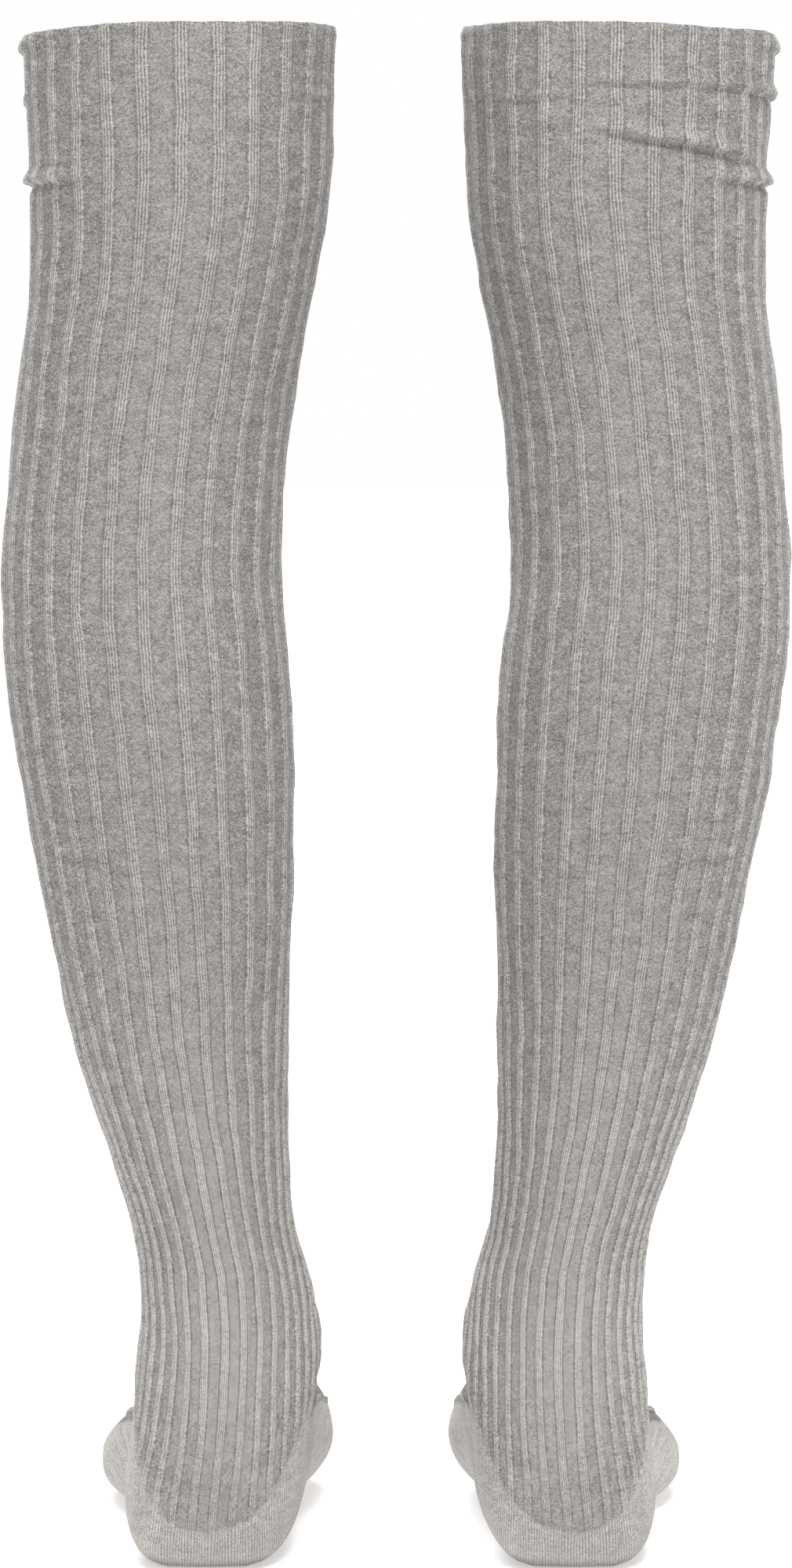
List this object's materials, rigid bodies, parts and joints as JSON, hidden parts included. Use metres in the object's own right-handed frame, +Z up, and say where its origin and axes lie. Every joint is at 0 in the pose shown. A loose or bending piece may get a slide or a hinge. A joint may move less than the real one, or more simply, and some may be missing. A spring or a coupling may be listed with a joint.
{
  "type": "pair of over-the-knee socks",
  "caption": "Ribbed grey knit over-the-knee socks, a pair, standing hollow in their worn form with open hems, plain heels and soles and closed toes.",
  "frame": {"origin": "midway between the two leg openings, level with the hem at the centre back, where the legs hold the pair up", "axes": "+Z up the legs; -Y towards the toes, +Y towards the heels; +X towards the left sock's outer side"},
  "size_m": [0.3141, 0.2668, 0.6113],
  "materials": {
    "knit": "light grey heathered rib knit, matt and slightly fuzzy"
  },
  "bodies": {
    "root": {"sock_left": "knit", "sock_right": "knit"}
  },
  "joints": []
}
